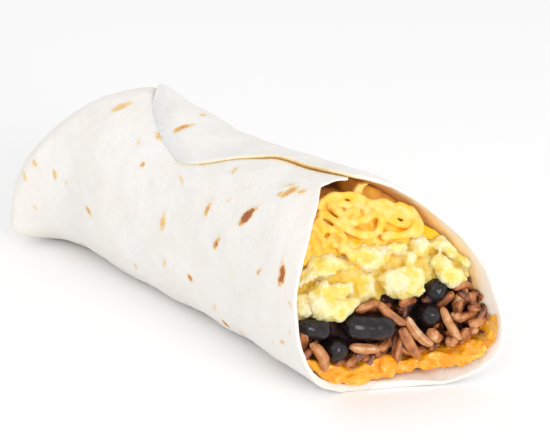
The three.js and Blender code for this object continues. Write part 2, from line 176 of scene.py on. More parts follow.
class Finish:
    """A material made of nodes round one Principled shader."""

    def __init__(self, name, **constants):
        self.material = bpy.data.materials.new(name)
        self.material.use_nodes = True
        self.tree = self.material.node_tree
        self.shader = self.tree.nodes["Principled BSDF"]
        for socket, value in constants.items():
            self.shader.inputs[socket.replace("_", " ")].default_value = value
        self.place = self.node("TexCoord", {}, {}, "Object")

    def node(self, kind, settings, inputs, output=0):
        made = self.tree.nodes.new("ShaderNode" + kind)
        for name, value in settings.items():
            if name == "stops":
                ramp = made.color_ramp.elements
                ramp[0].position, ramp[0].color = value[0]
                ramp[1].position, ramp[1].color = value[-1]
                for position, colour in value[1:-1]:
                    ramp.new(position).color = colour
            else:
                setattr(made, name, value)
        for name, value in inputs.items():
            self.feed(made.inputs[name], value)
        return Tone(self, made.outputs[output])

    def feed(self, socket, value):
        if isinstance(value, Tone):
            self.tree.links.new(value.socket, socket)
        else:
            socket.default_value = value

    def wear(self, **inputs):
        for name, value in inputs.items():
            self.feed(self.shader.inputs[name.replace("_", " ")], value)

    def speckle(self, size, detail, roughness=0.55):
        """Noise from 0 to 1 with spots of about this size (mm)."""
        inputs = {"Vector": self.place, "Scale": 1000 / size, "Detail": detail, "Roughness": roughness}
        return self.node("TexNoise", {}, inputs)

    def painted(self, name):
        """A number kept at each corner of the mesh."""
        return self.node("Attribute", {"attribute_name": name}, {}, "Fac")

    def step(self, value, low, high):
        inputs = {"Value": value, "From Min": low, "From Max": high}
        return self.node("MapRange", {"interpolation_type": "SMOOTHSTEP"}, inputs)

    def mix(self, share, a, b):
        return self.node("Mix", {"data_type": "RGBA"}, {0: share, 6: a, 7: b}, 2)

    def relief(self, height, depth):
        """A bump of this depth (mm) from a height of 0 to 1."""
        return self.node("Bump", {}, {"Strength": 1.0, "Distance": depth / 1000, "Height": height})


dough = Finish("flour_tortilla", Roughness=0.75, Specular_IOR_Level=0.25,
               Subsurface_Weight=0.35, Subsurface_Scale=0.003, Subsurface_Radius=(1.0, 0.8, 0.6))
cloudy = dough.speckle(12, 3)
patchy = dough.speckle(3.4, 4, 0.6)
floury = dough.speckle(0.9, 4, 0.65)
ragged = dough.speckle(1.1, 5, 0.7) - 0.5
surface = dough.mix(dough.step(cloudy, 0.4, 0.64), (0.87, 0.835, 0.79, 1), (0.89, 0.86, 0.825, 1))
surface = dough.mix(dough.step(patchy, 0.53, 0.72) * 0.5, surface, (0.84, 0.79, 0.72, 1))
surface = dough.mix(dough.step(floury, 0.58, 0.8) * 0.35, surface, (0.80, 0.75, 0.67, 1))
toast = dough.painted("toast") + ragged * 1.2 + (dough.speckle(2.4, 3) - 0.5) * 1.5
darkness = dough.painted("darkness")
scorch = dough.step(toast, -0.15, 0.9) * darkness + (dough.speckle(0.8, 3) - 0.5) * 1.3 * darkness
brown_stops = [(0.0, (0.90, 0.76, 0.52, 1)), (0.25, (0.85, 0.58, 0.28, 1)), (0.5, (0.74, 0.38, 0.13, 1)),
               (0.75, (0.58, 0.23, 0.08, 1)), (1.0, (0.38, 0.14, 0.06, 1))]
browned = dough.node("ValToRGB", {"stops": brown_stops}, {"Fac": scorch + darkness * 0.2})
surface = dough.mix(dough.step(toast, -0.8, 0.1) * darkness * 0.5, surface, (0.85, 0.68, 0.47, 1))
surface = dough.mix(dough.step(toast, -0.16, 0.16), surface, browned)
# The inside of the roll is painted by one number, partly real grease and partly shade: pinkish grey painted
# shade on the inner faces near the edge, golden tan further in for grease with painted shade, and dark brown
# painted shade deep inside the tube.
greasy = dough.painted("greasy")
greasy = greasy + (dough.speckle(5, 3) - 0.5) * 0.5 * dough.step(greasy, 0, 0.3)
surface = dough.mix(dough.step(greasy, 0.0, 0.4), surface, (0.88, 0.79, 0.70, 1))
surface = dough.mix(dough.step(greasy, 0.3, 0.9), surface, (1.0, 0.71, 0.34, 1))
surface = dough.mix(dough.step(greasy, 1.1, 1.7), surface, (0.34, 0.14, 0.05, 1))
# Along the last wrap's free edge: a real brown stain on the first wrap beneath it, and on the last wrap's
# edge gold painted light, as if shining through the dough, deepening to golden brown painted shade toward the
# underside.
stain = dough.painted("stain") + ragged * 0.9
surface = dough.mix(dough.step(stain, -0.7, 0.2), surface, (0.95, 0.80, 0.50, 1))
surface = dough.mix(dough.step(stain, 0.0, 0.8), surface, (0.64, 0.34, 0.09, 1))
dough.wear(Base_Color=surface, Roughness=0.8 - floury * 0.12,
           Normal=dough.relief(patchy * 0.6 + floury * 0.3 + dough.step(toast, -0.6, 0.6) * 0.25, 0.6))

# Its blisters: brown spots where the dough bubbled up against the hot plate, each by its place
# (x, angle), its length and width (mm), its lean and how dark it got.
BLISTERS = [
    (40, 21, 6.9, 3.0, -82, 0.22), (59, 23, 4.4, 1.7, 16, 0.3), (55, 36, 2.2, 1.2, 35, 0.2),
    (61, 48, 2.0, 1.1, 100, 0.6), (18, 78, 2.6, 1.4, 40, 0.26), (15, 87, 2.8, 1.6, 60, 0.24),
    (26, 83, 3.0, 1.3, 80, 0.35), (31, 86, 2.2, 1.0, 60, 0.25), (42, 94, 3.6, 1.4, 44, 0.5),
    (17, 106, 1.8, 1.2, 75, 0.15), (75, 78, 5.8, 2.0, 99, 0.26), (92, 58, 4.4, 1.5, 97, 0.85),
    (108, 50, 6.8, 2.9, 121, 1.0), (99, 75, 4.0, 1.8, 117, 0.72), (93, 24, 2.2, 1.3, -100, 0.5),
    (77, 46, 2.6, 0.9, 32, 0.15), (116, 22, 6.4, 2.7, -84, 0.42), (113.5, 17, 3.4, 1.2, -60, 0.36),
    (119, 18, 4.0, 1.3, -95, 0.42), (114, 27, 3.0, 1.3, -70, 0.32), (129, 71, 6.4, 2.7, 85, 0.95),
    (128, 64, 2.6, 1.0, 80, 0.5), (119, 77, 2.7, 1.1, 120, 0.7), (87, 102, 2.2, 1.5, 70, 0.8),
    (76, 100, 3.4, 1.3, 116, 0.3), (99, 46, 1.4, 0.8, -50, 0.3), (27, 139, 4.0, 1.6, -18, 0.3),
    (98, 131, 4.0, 2.2, 70, 0.7), (104, 134, 1.8, 1.0, 20, 0.5), (113, 137, 4.0, 1.6, -13, 0.8),
    (134, 83, 1.6, 0.8, 36, 0.5), (134, 96, 1.8, 0.7, 66, 0.3), (130, 106, 2.2, 1.2, -31, 0.5),
    (125, 111, 1.6, 0.8, 80, 0.4), (96, 116, 3.4, 1.3, 110, 0.12), (60, 118, 2.4, 1.3, 60, 0.2),
]
LAST_WRAP_BLISTERS = [
    (63, 8, 6.4, 2.6, -74, 0.45), (60, -11, 3.4, 1.6, -95, 0.25), (88, -30, 4.6, 2.2, 60, 0.6),
    (70, -62, 5.2, 2.4, 100, 0.8), (112, -48, 4.2, 2.0, 80, 0.55), (96, -84, 3.6, 1.6, 20, 0.7),
    (52, -96, 4.4, 2.2, 120, 0.5), (126, -92, 5.0, 2.6, 95, 0.8), (84, -118, 5.0, 2.0, 60, 0.65),
    (112, -132, 3.4, 1.6, 40, 0.5), (124, -62, 2.4, 1.2, 70, 0.4), (60, -136, 3.0, 1.4, 10, 0.4),
]


def last_wrap_back(angle):
    """The last wrap's back edge, from under the roll to its corner on the near top."""
    turns = [-188, -150, -120, -90, -60, -30, -10, 3, 14, 24, 34]
    return through(turns, [100, 78, 58, 44, 36, 34, 39, 46, 54, 62, 72], angle)


scatter = random.Random(31)
for _ in range(36):  # more of them, on the far side and underneath
    blister = (scatter.uniform(8, 140), scatter.uniform(-175, -20), scatter.uniform(1.2, 4.5),
               scatter.uniform(0.8, 2.0), scatter.uniform(0, 180), scatter.uniform(0.15, 0.7))
    (BLISTERS if blister[0] < last_wrap_back(blister[1]) else LAST_WRAP_BLISTERS).append(blister)


def toasted(points, blisters, off):
    """For each point, how far inside a blister's edge it lies (mm), and that blister's darkness."""
    inside = np.full(len(points), -2.0)
    tone = np.zeros(len(points))
    for x, angle, long, wide, lean, dark in blisters:
        centre = skin(x, angle, off)
        along = unit(skin(x + 0.5, angle, off) - centre)
        across = skin(x, angle + 1, off) - centre
        across = unit(across - along * (across @ along))
        near = np.where(np.linalg.norm(points - centre, axis=1) < long + 4)[0]
        away = points[near] - centre
        turn = math.radians(lean)
        a = away @ (along * math.cos(turn) + across * math.sin(turn)) / (long / 2)
        b = away @ (across * math.cos(turn) - along * math.sin(turn)) / (wide / 2)
        depth = (1 - np.hypot(a, b)) * wide / 2
        better = depth > inside[near]
        inside[near[better]] = depth[better]
        tone[near[better]] = dark
    return inside, tone


def placed(name, data):
    """A new object in the scene."""
    made = bpy.data.objects.new(name, data)
    bpy.context.scene.collection.objects.link(made)
    return made


def piece(name, points, faces, finish, slot, nodes, **numbers):
    """A smooth-shaded mesh, from points in mm, that stands for some of the solids."""
    mesh = bpy.data.meshes.new(name)
    mesh.from_pydata(((np.asarray(points) + MIDDLE) / 1000).tolist(), [], faces)
    for label, values in numbers.items():
        kept = mesh.attributes.new(label, "FLOAT", "POINT")
        kept.data.foreach_set("value", np.asarray(values, np.float32))
    mesh.polygons.foreach_set("use_smooth", [True] * len(mesh.polygons))
    mesh.materials.append(finish.material)
    mesh.update()
    made = placed(name, mesh)
    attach(made, "root")
    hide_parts(*nodes)


def grid_faces(rows, columns, start=0, closed=False, turned=False):
    """Four-cornered faces over rows of points, which run on round if closed."""
    faces = []
    for i in range(rows - 1):
        for j in range(columns if closed else columns - 1):
            k = (j + 1) % columns
            a, b = start + i * columns, start + (i + 1) * columns
            face = (a + j, a + k, b + k, b + j)
            faces.append(face[::-1] if turned else face)
    return faces


def capped_faces(rows, columns):
    """Rings joined up, with a point before the first and one after the last."""
    faces = grid_faces(rows, columns, 1, closed=True)
    last = rows * columns + 1
    for j in range(columns):
        k = (j + 1) % columns
        faces.append((0, 1 + k, 1 + j))
        faces.append((last, last - columns + j, last - columns + k))
    return faces


def hollow(x, angle):
    """The roll sinks a little behind the corner of the last wrap and along its far shoulder."""
    dip = 3.8 * bell(x, 44, 10) * bell(angle, -42, 22)
    return -dip - 1.1 * bell(x, 84, 22) * bell(angle, -32, 16)


far_angles = np.linspace(-180, -20, 78, endpoint=False)
angles = np.hstack([far_angles, np.linspace(-20, 180, 152, endpoint=False)])
FOLD = 14  # the rounded stretch at the folded end, where the rows lie closer
end_rows = np.tile(FOLD * (np.arange(1, 42) / 41) ** 1.8, (len(angles), 1)).T
side_rows = FOLD + np.outer(np.arange(1, 201) / 200, inner_lip(angles) - 0.5 - FOLD)
edge_turn = np.radians(np.linspace(90, -90, 9))
edge_rows = inner_lip(angles) - 0.5 + 0.5 * np.cos(edge_turn)[:, None]
inside_shares = np.hstack([np.linspace(0.99, 0.6, 40), [0.4, 0.2, 0]])
hollow_rows = HEEL + np.outer(inside_shares, inner_lip(angles) - (HEEL + 0.5))
wrap_x = np.vstack([end_rows, side_rows, edge_rows, hollow_rows])
wrap_angle = np.broadcast_to(angles, wrap_x.shape)
wrap_off = np.zeros(wrap_x.shape)
edge_start = len(end_rows) + len(side_rows)
edge_end = edge_start + len(edge_rows)
wrap_off[edge_start:edge_end] = np.outer(np.sin(edge_turn) - 1, lip_thickness(angles)) / 2
wrap_off[edge_end:] = -wall(wrap_x[edge_end:], wrap_angle[edge_end:])
flat = skin(wrap_x, wrap_angle, 0 * wrap_x)
sway = (rough(flat, 18, 2) * 0.5 + rough(flat, 5, 3) * 0.17).reshape(wrap_x.shape) * ease(0, 10, wrap_x)
# creases where the far side was gathered in and folded shut: angle, reach along the roll, depth
CREASES = ((-30, 22, 1.3), (-62, 30, 1.9), (-104, 26, 1.8), (-136, 27, 1.5))
for crease_angle, crease_reach, crease_depth in CREASES:
    wander = crease_angle + 7 * np.sin(wrap_x / 9)
    sway = sway - crease_depth * bell(wrap_angle, wander, 3.6) * ease(crease_reach, 6, wrap_x)
# the edge of the side that was folded in over the end, slantwise across it
past = flat[..., 1] - 3 - 0.42 * (48 - flat[..., 2]) + 0.9 * np.sin(flat[..., 2] / 5)
sway = sway - 1.5 * ease(-0.5, 0.5, past) * np.exp(-np.maximum(past, 0) / 9) * ease(34, 22, wrap_x)
points = skin(wrap_x, wrap_angle, wrap_off + sway + hollow(wrap_x, wrap_angle)).reshape(-1, 3)
points = np.vstack([skin(0, 0), points, [HEEL, 0, 24]])


# How the last wrap's free edge runs over the near top: from its back corner toward the opening (mm), and
# round the roll (degrees). A degree is about 0.42 mm there.
EDGE_START, EDGE_END = 72, 122
EDGE_ANGLE, EDGE_TURN = 34, 46
PER_DEGREE = 0.42


def free_edge_bow(share):
    """How far the free edge bows off its straight run (degrees)."""
    stations = [0, 0.11, 0.21, 0.31, 0.40, 0.46, 0.52, 0.6, 0.7, 0.79, 0.87, 1]
    return through(stations, [0, 1.6, -0.8, -4.2, -9.1, -11.4, -11.4, -9.8, -7.2, -4.2, -1.4, 0], share)


free_x = np.linspace(EDGE_START, EDGE_END, 120)
free_share = (free_x - EDGE_START) / (EDGE_END - EDGE_START)
free_angle = EDGE_ANGLE - EDGE_TURN * free_share + free_edge_bow(free_share)
flat_x, flat_angle, flat_off = wrap_x.ravel(), wrap_angle.ravel(), wrap_off.ravel()
inward = flat_off < -0.9
beyond = (flat_angle - np.interp(flat_x, free_x, free_angle)) * PER_DEGREE
# a real stain on the first wrap along the last wrap's free edge, widest toward the opening
stain = 0.3 + 0.5 * ease(84, 105, flat_x) - 0.5 * ease(112, 121, flat_x) - np.abs(beyond - 0.2)
stain = np.where((flat_x > 71) & (np.abs(flat_angle) < 60), stain, -2)
reach_in = inner_lip(flat_angle) - flat_x
# On the inner faces: pinkish painted shade near the edge, golden grease with painted shade further in, and
# dark brown painted shade deep inside the tube.
oil_and_shade = ease(0, -0.8, flat_off) * (0.36 + 0.5 * ease(3, 15, reach_in) + 0.9 * ease(22, 44, reach_in))
inside, tone = toasted(points, BLISTERS, 0)
numbers = {"toast": np.where(np.pad(inward, 1), -2, inside), "darkness": tone,
           "stain": np.pad(np.where(inward, -2, stain), 1, constant_values=-2), "greasy": np.pad(oil_and_shade, 1)}
piece("tortilla_first_wrap", points, capped_faces(*wrap_x.shape), dough, "tortilla", ["tortilla"], **numbers)

# Tortilla, last wrap. The rest of the same sheet: it comes up round the far side, lies over the top and
# ends in a free edge on the near top, which lifts a little at its back corner and near the opening.
rows, columns = 150, 150
u, v = np.meshgrid(np.linspace(0, 1, rows), np.linspace(0, 1, columns), indexing="ij")
back_angle, front_angle = -188 + 222 * v, -188 + 176 * v
bow = free_edge_bow(u)
angle = back_angle + (front_angle - back_angle) * u + bow * v**5
back = last_wrap_back(back_angle)
front_edge = lip(front_angle) - 0.5 + 0.6 * ease(-176, -150, front_angle)
x = back + (front_edge - back) * u
edge = np.maximum(EDGE_ANGLE - EDGE_TURN * u + bow, angle)
inwards = np.minimum(np.minimum((edge - angle) * PER_DEGREE, front_edge - x), (x - back) * 0.6)
thick = 1.0 + 1.3 * ease(0, 9, inwards)
thick = thick + (THICKNESS - thick) * ease(-150, -182, angle)
tapered = ease(9, 0, x - back) * ease(-175, -150, angle)
thick = thick - (thick - 0.3) * tapered
risen = ease(-186, -95, angle)
off = STAND_OFF * risen - 0.05 - (THICKNESS - thick) * 0.75 * (1 - tapered) - 1.75 * tapered * risen
off = off + 1.9 * bell(x, 40, 7) * bell(angle, -12, 13)
off = off + 0.25 * ease(84, 118, x) * np.exp((angle - edge) / 16)
off = off + 1.3 * ease(120, 152, x) * bell(angle, -112, 38) + hollow(x, angle)
flat = skin(x, angle, off)
sway = (rough(flat, 18, 2) * 0.5 + rough(flat, 5, 2) * 0.14).reshape(x.shape) * ease(-186, -170, angle)
top = skin(x, angle, off + sway)
under = skin(x, angle, np.maximum(off + sway - thick, hollow(x, angle) - THICKNESS))
points = np.vstack([top.reshape(-1, 3), under.reshape(-1, 3)])
faces = grid_faces(rows, columns, 0, turned=True) + grid_faces(rows, columns, rows * columns)
# the points round the sheet's rim, and beside each the next one in from it
order = np.arange(rows * columns).reshape(rows, columns)
rim = np.hstack([order[0], order[1:, -1], order[-1, -2::-1], order[-2:0:-1, 0]])
inner = np.hstack([order[1], order[1:, -2], order[-2, -2::-1], order[-2:0:-1, 1]])
outward = unit(points[rim] - points[inner])
upper, lower = points[rim], points[rim + rows * columns]
rings = [rim]
EDGE_STEPS = 8  # round the rim from the top face to the underside
for turn in np.linspace(0, math.pi, EDGE_STEPS + 1)[1:-1]:
    rings.append(len(points) + np.arange(len(rim)))
    round_edge = (upper + lower) / 2 + (upper - lower) / 2 * math.cos(turn) + outward * 0.55 * math.sin(turn)
    points = np.vstack([points, round_edge])
rings.append(rim + rows * columns)
for one, other in zip(rings, rings[1:]):
    for i in range(len(rim)):
        j = (i + 1) % len(rim)
        faces.append((int(one[i]), int(one[j]), int(other[j]), int(other[i])))
inside, tone = toasted(points, LAST_WRAP_BLISTERS, 1.9)
underside = np.arange(len(points)) >= rows * columns
# The underside is painted likewise, grease with painted shade, and dark brown painted shade far in under the
# roof; none of it near the free edge or the back corner.
oil_and_shade = (0.35 + 0.65 * ease(0, 8, front_edge - x)) * (0.45 + 0.55 * ease(10, 32, under[..., 2]))
deep = ease(26, 46, front_edge - x) * ease(0.5, 5, (edge - angle) * PER_DEGREE)
grease_and_shade_reach = ease(66, 50, front_edge - x) * ease(2, 24, x - back)
oil_and_shade = ((oil_and_shade + 0.9 * deep) * grease_and_shade_reach).ravel()
opening = np.where(rim >= order[-1, 0], 1.0, 0.0)
steps_in = range(1, EDGE_STEPS)
greasy = np.hstack([0 * oil_and_shade, oil_and_shade] + [opening * oil_and_shade[rim] * k / EDGE_STEPS for k in steps_in])
# On the last wrap's top face beside its free edge and round its rim: gold painted light, as if shining
# through the dough, deepening to golden brown painted shade toward the underside.
stain = np.full((rows, columns), -2.0)
stain[:, -3:] = (0.5 * ease(84, 105, x) - 0.6 - 0.4 * ease(112, 121, x))[:, -3:] - np.arange(2, -1, -1) * 0.25
stain = np.hstack([stain.ravel(), np.full(rows * columns, -2.0)])
stain = np.hstack([stain] + [stain[rim] + 1.3 * k / (EDGE_STEPS - 1) for k in steps_in])
piece("tortilla_last_wrap", points, faces, dough, "tortilla", ["tortilla"],
      toast=np.where(underside, -2, inside), darkness=tone, stain=stain, greasy=greasy)

# Cheese sauce. A thick, glossy orange sauce, spooned on first so that it lies under everything. It wells
# up at the front edge in soft blobs and clings to the tortilla on the far side.
def front(y, z):
    """How far the fillings come forward: their front slants back to the top and to the near side."""
    return 142.5 + 0.36 * y + 0.0025 * y * y - 22 * (np.maximum(z - 12, 0) / 34) ** 1.5


def on_front(y, z, out):
    """A point out from the front by a little, square to it."""
    square = np.array([1, -0.36 - 0.005 * y, 0.97 * math.sqrt(max(z - 12, 0) / 34)])
    return np.array([front(y, z), y, z]) + unit(square) * out


# How high each filling lies, one on the other.
def sauce_top(x, y):
    return through([-32, -20, -12, 0, 14, 24, 32], [12, 9.6, 6.6, 5.8, 6.6, 9.5, 16], y) + 0.6 * np.sin(x / 9)


def rice_top(x, y):
    return through([-32, -16, 0, 12, 22, 32], [21.5, 20.5, 22, 23, 24, 24], y) + 0.8 * np.sin(x / 11 + 1)


def egg_top(x, y):
    return through([-32, -16, 0, 12, 24, 32], [31, 33, 34.5, 34.5, 34, 33], y) + 0.9 * np.sin(x / 13 + 2)


def kept_inside(points, clear=0.25):
    """The same points, with those that would press into the tortilla drawn back off it."""
    points = np.array(points, float)
    x, y, z = points[:, 0], points[:, 1], points[:, 2]
    tall = through(STATIONS, HEIGHT, x)
    middle = tall / 2 - 0.6
    p = np.arctan2(-(y - sideways(x)), z - middle)
    angle = np.degrees(p)
    free = STAND_OFF * ease(-175, -95, angle) * ease(-8, -30, angle) * ease(0, 3, x - inner_lip(angle))
    free = free * (1 + 0.65 * ease(120, 152, x) * bell(angle, -112, 38))
    off = free - np.where(free > 0, THICKNESS, wall(x, angle)) - clear
    k = closing(x, p)
    y0 = (y - sideways(x) - SHUT_Y) / k + SHUT_Y
    z0 = (z - SHUT_Z) / k + SHUT_Z
    n = np.interp(x, [0, 50], [2.2, 2.3])
    a = np.abs(y0) / (through(STATIONS, HALF_WIDTH, x) + off)
    b = np.abs(z0 - middle) / (tall / 2 + 1 + off)
    share = 1 / np.maximum((a**n + b**n) ** (1 / n), 1)
    points[:, 1] = SHUT_Y + (y0 * share - SHUT_Y) * k + sideways(x)
    z = SHUT_Z + (middle + (z0 - middle) * share - SHUT_Z) * k
    points[:, 2] = np.maximum(z, THICKNESS + clear)
    return points


def packed_block(low, high, recess, start=27, right=31, left=-31):
    """The mass of one filling, from near the folded end to a little behind its front."""
    along, across, up = 26, 44, 8
    order, points, faces = {}, [], []

    def corner(i, j, k):
        if (i, j, k) not in order:
            order[i, j, k] = len(points)
            y = left + (right - left) * j / across
            x = 116.0  # a first guess, which a few rounds bring onto the front
            for _ in range(4):
                z = low(x, y) + (high(x, y) - low(x, y)) * k / up
                x = start + (front(y, z) - recess - start) * i / along
            points.append((x, y, float(z)))
        return order[i, j, k]

    sides = [(across, up, lambda a, b, s: (s * along, a, b), 0),
             (along, up, lambda a, b, s: (a, s * across, b), 1),
             (along, across, lambda a, b, s: (a, b, s * up), 0)]
    for n, m, at, turned in sides:
        for s in (0, 1):
            for a in range(n):
                for b in range(m):
                    ring = [corner(*at(*c, s)) for c in ((a, b), (a + 1, b), (a + 1, b + 1), (a, b + 1))]
                    faces.append(tuple(ring if s != turned else ring[::-1]))
    return kept_inside(points, 0.6), faces


def joined(parts):
    """Several meshes, as points and faces, as one."""
    points, faces, shift = [], [], 0
    for p, f in parts:
        points.append(np.asarray(p))
        faces += [tuple(int(c) + shift for c in face) for face in f]
        shift += len(p)
    return np.vstack(points), faces


def lump(centre, size, bumps):
    """A ball pressed to this half size, with uneven swellings."""
    ball = bmesh.new()
    bmesh.ops.create_icosphere(ball, subdivisions=3, radius=1)
    points = np.array([v.co for v in ball.verts])
    faces = [tuple(v.index for v in f.verts) for f in ball.faces]
    ball.free()
    swell = rough(points * 1.3 + np.asarray(centre) * 3.1, 1.0, 2)
    return points * (1 + bumps * swell)[:, None] * np.asarray(size) + np.asarray(centre), faces


def fused(name, parts, voxel, smoothing):
    """Meshes grown together into one skin: its points, faces and normals."""
    points, faces = joined(parts)
    mesh = bpy.data.meshes.new(name)
    mesh.from_pydata((points / 1000).tolist(), [], faces)
    lumpy = placed(name, mesh)
    remesh = lumpy.modifiers.new("grown_together", "REMESH")
    remesh.mode = "VOXEL"
    remesh.voxel_size = voxel / 1000
    soften = lumpy.modifiers.new("soft", "SMOOTH")
    soften.factor = 0.5
    soften.iterations = smoothing
    done = bpy.data.meshes.new_from_object(lumpy.evaluated_get(bpy.context.evaluated_depsgraph_get()))
    points = np.array([v.co for v in done.vertices]) * 1000
    normals = np.array([v.normal for v in done.vertices])
    faces = [tuple(p.vertices) for p in done.polygons]
    bpy.data.objects.remove(lumpy)
    return points, faces, normals


def with_core(points, faces, core):
    """A grown skin and the plain mass behind it as one, clear of the tortilla."""
    points, faces = joined([(points, faces), core])
    return kept_inside(points), faces


def behind_front(points):
    """How far each point lies behind the front of the fillings (mm)."""
    return front(points[:, 1], points[:, 2]) - points[:, 0]


def sauce_front_top(x, y):
    """The sauce's upper edge where it wells up at the front."""
    stations = [-24, -21.5, -16.5, -12.5, -8.5, -4, -0.5, 2, 5, 8.5, 13, 18, 22, 26, 28.5, 30]
    return through(stations, [12.5, 12, 9.8, 8.3, 6.1, 7, 8.4, 8.4, 6.4, 5.7, 7, 7.1, 9, 11, 15, 16.5], y)


SAUCE_BLOBS = [
    (0.8, 5.4, 1.6, 3.2, 2.9), (-13.6, 5.4, 0.6, 5.4, 2.6), (-7.5, 4.0, 1.2, 4.4, 2.0),
    (-2.4, 4.2, 0.8, 3.4, 1.6), (6.6, 4.2, 0.8, 3.6, 1.7), (11.6, 4.4, 0.6, 3.6, 2.2),
    (17, 4.8, -0.6, 4.6, 2.2), (22.6, 7, -0.8, 3.6, 2.4), (26.6, 9.8, -0.8, 2.4, 3.2),
    (29, 13.4, 0.2, 1.6, 3.4),
]
parts = [packed_block(lambda x, y: y * 0 + 2.4, sauce_front_top, 0.4, start=108)]
parts += [lump(on_front(y, z, out - 2.4), (2.8, wide, high), 0.22) for y, z, out, wide, high in SAUCE_BLOBS]
points, faces, normals = fused("sauce", parts, 0.36, 8)
y, z = points[:, 1], points[:, 2]
floor = through([6.5, 12.8, 16.9, 20.2, 22.4, 24.5, 25.4, 26.5], [2.3, 2.9, 4.9, 7.1, 9.3, 12.5, 14.5, 20], y)
reach_stations = [6, 9.8, 12.8, 15, 16.9, 18.6, 20.2, 24.5, 25.8, 28]
reach = through(reach_stations, [0.6, 0.5, 1.3, 2.7, 4.2, 5.2, 5.8, 5.4, 4.6, 4.0], y)
spread = 1.2 * ease(12, 0, y) * ease(8, 3, z) + reach * ease(4.2, 0.8, z - floor) * ease(6, 12, y)
spread = spread * ease(12, 0, behind_front(points))
flow = rough(points * [1, 0.45, 1], 3.2, 2) * 0.7 + rough(points * [1, 0.5, 1] + 30, 1.4, 2) * 0.16
points = points + normals * flow[:, None] + spread[:, None] * [1, 0, 0]
points = points + (rough(points, 2.4, 3) * 0.8 * ease(0.5, 3, spread))[:, None] * [0, 0.3, 1]
x, y, z = points.T
points[:, 0] = np.minimum(x, lip(np.degrees(np.arctan2(-y, z - 23.5))) - 0.8 + 5 * ease(10, 4, y))
points, faces = with_core(points, faces, packed_block(lambda x, y: y * 0 + 2.6, sauce_top, 24))
sauce = Finish("cheese_sauce", Roughness=0.2, Specular_IOR_Level=0.4, Coat_Roughness=0.1,
               Subsurface_Weight=0.3, Subsurface_Scale=0.003, Subsurface_Radius=(1.0, 0.5, 0.15))
streaky = sauce.speckle(4.5, 4)
colour = sauce.mix(sauce.step(streaky, 0.38, 0.66), (1.0, 0.35, 0.008, 1), (1.0, 0.46, 0.02, 1))
colour = sauce.mix(sauce.step(sauce.speckle(2.2, 4), 0.5, 0.7) * 0.7, colour, (1.0, 0.62, 0.14, 1))
sauce.wear(Base_Color=colour, Roughness=0.12 + sauce.speckle(1.5, 3) * 0.14, Coat_Weight=streaky * 0.8,
           Normal=sauce.relief(sauce.speckle(2.6, 2), 0.25))
piece("sauce_layer", points, faces, sauce, "cheese_sauce", ["cheese_sauce"])

# Black beans. Whole cooked beans, each a plump pill with a smooth dark skin that shines a little. Two lie
# across the front, and three point back into the rice. Each by its ends, its width, how far it is out and
# how full its ends are.
BEANS = [
    ((-21.2, 20.6), (-13, 18.2), 5.6, 1, 3.6), ((-10.3, 18.8), (4.4, 16.0), 7.3, 1.4, 5.0),
    ((-13, 13), (-11.4, 12.6), 7.6, 1, 2.5), ((16.9, 23), (18.1, 22.8), 7.4, 0.4, 2.5),
    ((13.2, 17.6), (14.8, 17.2), 7.2, 1, 2.5),
]


def pill(a, b, wide, high, sides, rings, fullness, bend, dents, ridges=0.0):
    """A long rounded piece from a to b, bent, dented and ridged lengthwise as asked."""
    a, b = np.asarray(a, float), np.asarray(b, float)
    length = np.linalg.norm(b - a)
    axis = (b - a) / length
    across = unit(np.cross([0, 0, 1.0], axis))
    up = np.cross(axis, across)
    share = np.sin(np.linspace(-math.pi / 2, math.pi / 2, rings + 2)[1:-1])
    reach = np.sqrt(1 - np.abs(share) ** fullness)
    turn = np.arange(sides) / sides * 2 * math.pi
    centre = (a + b) / 2 + np.outer(share * length / 2, axis) + np.outer((1 - share**2) * bend, up)
    spokes = np.outer(np.cos(turn) * wide / 2, across) + np.outer(np.sin(turn) * high / 2, up)
    spokes = spokes * (1 + np.broadcast_to(ridges, sides))[:, None]
    points = (centre[:, None, :] + reach[:, None, None] * spokes[None]).reshape(-1, 3)
    points = np.vstack([a, points, b])
    points = points + (points - (a + b) / 2) * (rough(points, 2.2, 2) * dents)[:, None]
    return points, capped_faces(rings, sides)


bean_skin = Finish("black_bean_skin", Roughness=0.25, Specular_IOR_Level=0.4)
blotchy = bean_skin.speckle(2.4, 4)
black, plum = (0.010, 0.007, 0.008, 1), (0.034, 0.022, 0.032, 1)
colour = bean_skin.mix(bean_skin.step(blotchy, 0.45, 0.75), black, plum)
bean_skin.wear(Base_Color=colour, Roughness=0.1 + blotchy * 0.14,
               Normal=bean_skin.relief(bean_skin.speckle(0.9, 3) * 0.3 + blotchy, 0.03))
SHORTEST, LONGEST = 4.4, 7.4  # half of a bean's length
laid_beans = []
for number, (start, end, wide, out, fullness) in enumerate(BEANS, 1):
    a, b = on_front(*start, out - 2.4), on_front(*end, out - 2.4)
    centre, axis = (a + b) / 2, (b - a) / 2
    if np.linalg.norm(axis) < 2:  # one that points back into the rice
        axis = np.array([-1, 0.3, -0.25]) * 4.9
        centre = on_front(*(np.add(start, end) / 2), out) + axis
    axis = unit(axis) * np.clip(np.linalg.norm(axis), SHORTEST, LONGEST)
    laid_beans.append((centre - axis, centre + axis, wide))
    points, faces = pill(centre - axis, centre + axis, wide, wide * 0.94, 44, 40, fullness, -0.3, 0.025)
    points = kept_inside(points)
    piece("whole_bean_%d" % number, points, faces, bean_skin, "bean", ["black_bean_%d" % number])
